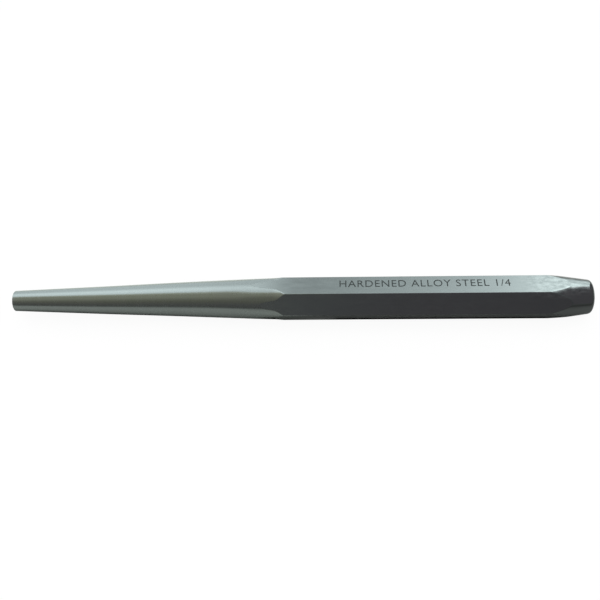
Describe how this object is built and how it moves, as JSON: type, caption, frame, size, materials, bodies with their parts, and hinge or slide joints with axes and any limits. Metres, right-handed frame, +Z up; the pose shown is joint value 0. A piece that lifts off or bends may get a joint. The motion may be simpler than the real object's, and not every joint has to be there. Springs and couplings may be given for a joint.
{
  "type": "taper punch",
  "caption": "Solid steel hand punch: hexagonal shank, long round taper to a blunt flat tip, and a bevelled end to strike with a hammer.",
  "frame": {"origin": "on the flat that the punch rests on, halfway along its length and centred across it", "axes": "+X along the bar towards the struck end, the tip at -X; +Z up, out of the flat opposite the one it rests on"},
  "size_m": [0.1778, 0.0138, 0.012],
  "materials": {
    "tool_steel": "ground bare tool steel, satin"
  },
  "bodies": {
    "root": {"punch_body": "tool_steel"}
  },
  "joints": []
}
